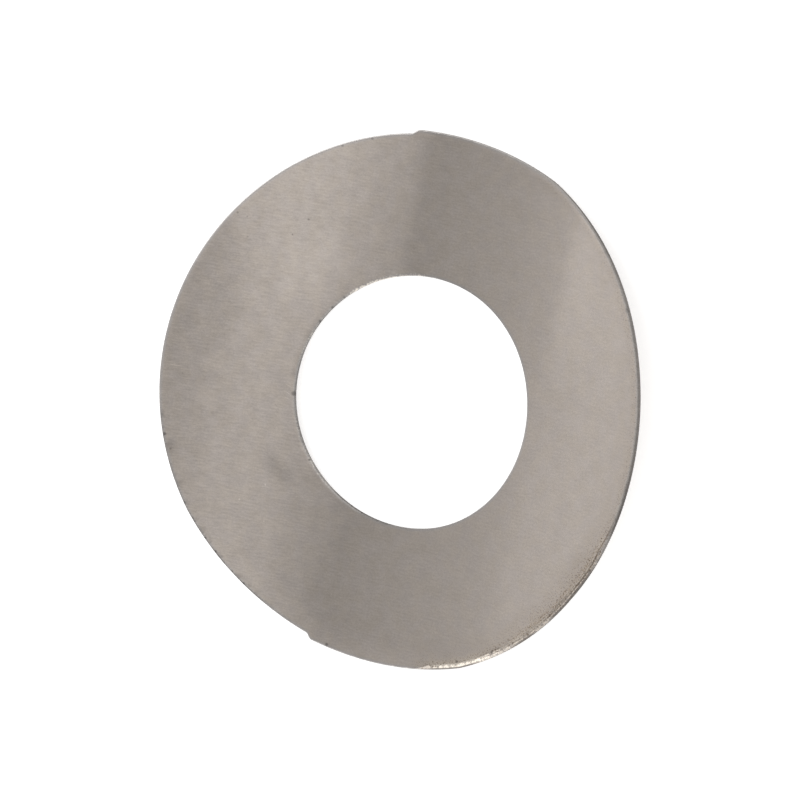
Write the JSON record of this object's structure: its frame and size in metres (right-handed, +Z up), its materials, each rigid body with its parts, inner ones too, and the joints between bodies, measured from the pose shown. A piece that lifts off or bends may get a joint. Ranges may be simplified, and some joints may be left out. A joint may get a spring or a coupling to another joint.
{
  "type": "curved spring washer",
  "caption": "Thin round washer of rolled steel strip, bent about one axis into a shallow trough, with a plain round bore; a light spring between two flat faces.",
  "frame": {"origin": "on the bore's axis, in the plane that the washer lies on, where its round back is lowest", "axes": "+Z up along the bore, +X the way in which the washer curves up, Y along the bend's axis"},
  "size_m": [0.0197, 0.0204, 0.0021],
  "materials": {
    "rolled_steel": "cold-rolled, fine grain along the bend, sheared edges"
  },
  "bodies": {
    "root": {"curved_washer": "rolled_steel"}
  },
  "joints": []
}
